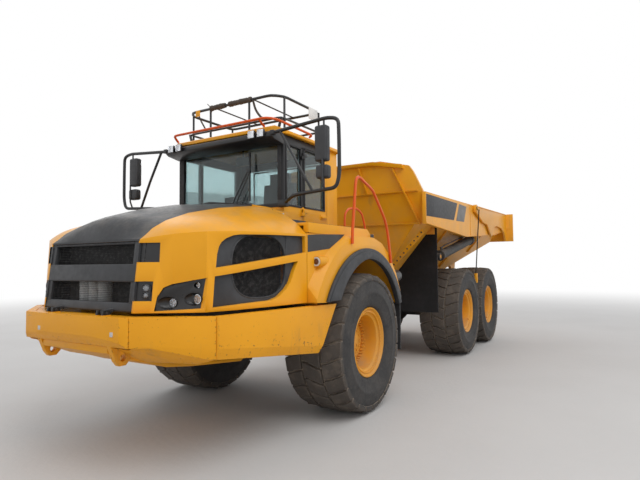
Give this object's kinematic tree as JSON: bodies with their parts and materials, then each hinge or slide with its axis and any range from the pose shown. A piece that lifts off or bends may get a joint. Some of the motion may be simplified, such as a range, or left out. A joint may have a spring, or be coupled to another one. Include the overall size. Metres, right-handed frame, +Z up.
{
  "type": "articulated dump truck",
  "caption": "Articulated hauler: a cab unit and a load unit joined by a steering hitch, with a tipping load body and overhung tailgate.",
  "frame": {"origin": "on the ground, under the centre of the bounding box, with the machine steered straight", "axes": "+X forward, +Y to the machine's left, +Z up"},
  "size_m": [10.38, 3.31, 3.5951],
  "materials": {
    "yellow_paint": "worn gloss paint",
    "rim_paint": "dusty paint",
    "frame_paint": "dusty satin paint",
    "cast_metal": "rough",
    "black_plastic": "faded matte",
    "mesh": "perforated",
    "rubber": "dusty",
    "glass": "tinted",
    "lamp": "clear",
    "black_tube": "satin",
    "orange_paint": "satin",
    "cylinder_paint": "satin",
    "chrome": "polished",
    "tyre": "worn, dusty"
  },
  "bodies": {
    "front_unit": {"front_frame": "frame_paint", "engine_block": "cast_metal", "cooling_pack": "cast_metal", "front_axle": "frame_paint", "bumper": "yellow_paint", "skid_plate": "yellow_paint", "left_fender": "yellow_paint", "right_fender": "yellow_paint", "arch_flares": "black_plastic", "front_mudflaps": "rubber", "cab_shell": "yellow_paint", "cab_roof": "yellow_paint", "cab_glass": "glass", "sun_visor": "black_plastic", "work_lamps": "lamp", "cab_interior": "black_plastic", "mirrors": "black_plastic", "roof_rail": "black_tube", "handrails": "orange_paint", "access_steps": "frame_paint", "side_tanks": "frame_paint"},
    "hood": {"hood_shell": "yellow_paint", "grille": "black_plastic", "hood_mesh": "mesh", "head_lamps": "lamp"},
    "door": {"cab_door": "yellow_paint", "door_glass": "glass"},
    "hitch": {"hitch": "frame_paint"},
    "rear_unit": {"rear_frame": "frame_paint", "bogie_axles": "frame_paint", "bogie_beams": "frame_paint", "rear_lamps": "lamp"},
    "load_body": {"dump_body": "yellow_paint", "body_mudflaps": "rubber"},
    "tailgate": {"tailgate": "yellow_paint"},
    "steer_barrel_left": {"steer_barrel_left": "frame_paint"},
    "steer_rod_left": {"steer_rod_left": "chrome"},
    "steer_barrel_right": {"steer_barrel_right": "frame_paint"},
    "steer_rod_right": {"steer_rod_right": "chrome"},
    "hoist_barrel_left": {"hoist_barrel_left": "cylinder_paint"},
    "hoist_rod_left": {"hoist_rod_left": "chrome"},
    "hoist_barrel_right": {"hoist_barrel_right": "cylinder_paint"},
    "hoist_rod_right": {"hoist_rod_right": "chrome"},
    "wheel_front_left": {"tyre_front_left": "tyre", "rim_front_left": "rim_paint"},
    "wheel_front_right": {"tyre_front_right": "tyre", "rim_front_right": "rim_paint"},
    "wheel_mid_left": {"tyre_mid_left": "tyre", "rim_mid_left": "rim_paint"},
    "wheel_mid_right": {"tyre_mid_right": "tyre", "rim_mid_right": "rim_paint"},
    "wheel_rear_left": {"tyre_rear_left": "tyre", "rim_rear_left": "rim_paint"},
    "wheel_rear_right": {"tyre_rear_right": "tyre", "rim_rear_right": "rim_paint"}
  },
  "joints": [
    {"name": "steering", "type": "hinge", "parent": "front_unit", "child": "hitch", "pos_m": [1.22, 0, 1.01], "axis": [0, 0, 1], "range_deg": [-45, 45]},
    {"name": "frame_roll", "type": "hinge", "parent": "hitch", "child": "rear_unit", "pos_m": [1.22, 0, 1.01], "axis": [-1, 0, 0], "range_deg": [-15, 15]},
    {"name": "tipping", "type": "hinge", "parent": "rear_unit", "child": "load_body", "pos_m": [-4.056, 0, 1.5], "axis": [0, -1, 0], "range_deg": [0, 70]},
    {"name": "tailgate_swing", "type": "hinge", "parent": "load_body", "child": "tailgate", "pos_m": [-2.27, 0, 2.742], "axis": [0, 1, 0], "range_deg": [0, 42]},
    {"name": "hood_hinge", "type": "hinge", "parent": "front_unit", "child": "hood", "pos_m": [5.09, 0, 1.31], "axis": [0, 1, 0], "range_deg": [0, 90]},
    {"name": "door_hinge", "type": "hinge", "parent": "front_unit", "child": "door", "pos_m": [2.867, 0.822, 2.58], "axis": [0, 0, -1], "range_deg": [0, 85]},
    {"name": "steer_cylinder_left", "type": "hinge", "parent": "front_unit", "child": "steer_barrel_left", "pos_m": [2.18, 0.215, 1.115], "axis": [0, 0, 1], "range_deg": [-3, 3]},
    {"name": "steer_stroke_left", "type": "slide", "parent": "steer_barrel_left", "child": "steer_rod_left", "axis": [-0.9976, 0.0698, 0], "range_m": [-0.212, 0.212]},
    {"name": "steer_cylinder_right", "type": "hinge", "parent": "front_unit", "child": "steer_barrel_right", "pos_m": [2.18, -0.215, 1.115], "axis": [0, 0, 1], "range_deg": [-3, 3]},
    {"name": "steer_stroke_right", "type": "slide", "parent": "steer_barrel_right", "child": "steer_rod_right", "axis": [-0.9976, -0.0698, 0], "range_m": [-0.212, 0.212]},
    {"name": "hoist_cylinder_left", "type": "hinge", "parent": "rear_unit", "child": "hoist_barrel_left", "pos_m": [-0.625, 1.24, 1.79], "axis": [0, -1, 0], "range_deg": [-8, 8]},
    {"name": "hoist_stroke_left", "type": "slide", "parent": "hoist_barrel_left", "child": "hoist_rod_left", "axis": [-0.9858, 0, 0.1681], "range_m": [0, 1.473]},
    {"name": "hoist_cylinder_right", "type": "hinge", "parent": "rear_unit", "child": "hoist_barrel_right", "pos_m": [-0.625, -1.24, 1.79], "axis": [0, -1, 0], "range_deg": [-8, 8]},
    {"name": "hoist_stroke_right", "type": "slide", "parent": "hoist_barrel_right", "child": "hoist_rod_right", "axis": [-0.9858, 0, 0.1681], "range_m": [0, 1.473]},
    {"name": "spin_front_left", "type": "hinge", "parent": "front_unit", "child": "wheel_front_left", "pos_m": [2.43, 1.108, 0.79], "axis": [0, 1, 0], "continuous": true},
    {"name": "spin_front_right", "type": "hinge", "parent": "front_unit", "child": "wheel_front_right", "pos_m": [2.43, -1.108, 0.79], "axis": [0, 1, 0], "continuous": true},
    {"name": "spin_mid_left", "type": "hinge", "parent": "rear_unit", "child": "wheel_mid_left", "pos_m": [-1.743, 1.108, 0.79], "axis": [0, 1, 0], "continuous": true},
    {"name": "spin_mid_right", "type": "hinge", "parent": "rear_unit", "child": "wheel_mid_right", "pos_m": [-1.743, -1.108, 0.79], "axis": [0, 1, 0], "continuous": true},
    {"name": "spin_rear_left", "type": "hinge", "parent": "rear_unit", "child": "wheel_rear_left", "pos_m": [-3.413, 1.108, 0.79], "axis": [0, 1, 0], "continuous": true},
    {"name": "spin_rear_right", "type": "hinge", "parent": "rear_unit", "child": "wheel_rear_right", "pos_m": [-3.413, -1.108, 0.79], "axis": [0, 1, 0], "continuous": true}
  ],
  "couplings": [
    {"joint": "tailgate_swing", "follows": "tipping", "ratio": 0.6},
    {"joint": "steer_cylinder_left", "follows": "steering", "ratio": 0.03432},
    {"joint": "steer_stroke_left", "follows": "steering", "m_per_rad": 0.25697},
    {"joint": "steer_cylinder_right", "follows": "steering", "ratio": 0.03432},
    {"joint": "steer_stroke_right", "follows": "steering", "m_per_rad": -0.25697},
    {"joint": "hoist_cylinder_left", "follows": "tipping", "ratio": -0.07042},
    {"joint": "hoist_stroke_left", "follows": "tipping", "m_per_rad": 1.1893},
    {"joint": "hoist_cylinder_right", "follows": "tipping", "ratio": -0.07042},
    {"joint": "hoist_stroke_right", "follows": "tipping", "m_per_rad": 1.1893}
  ]
}
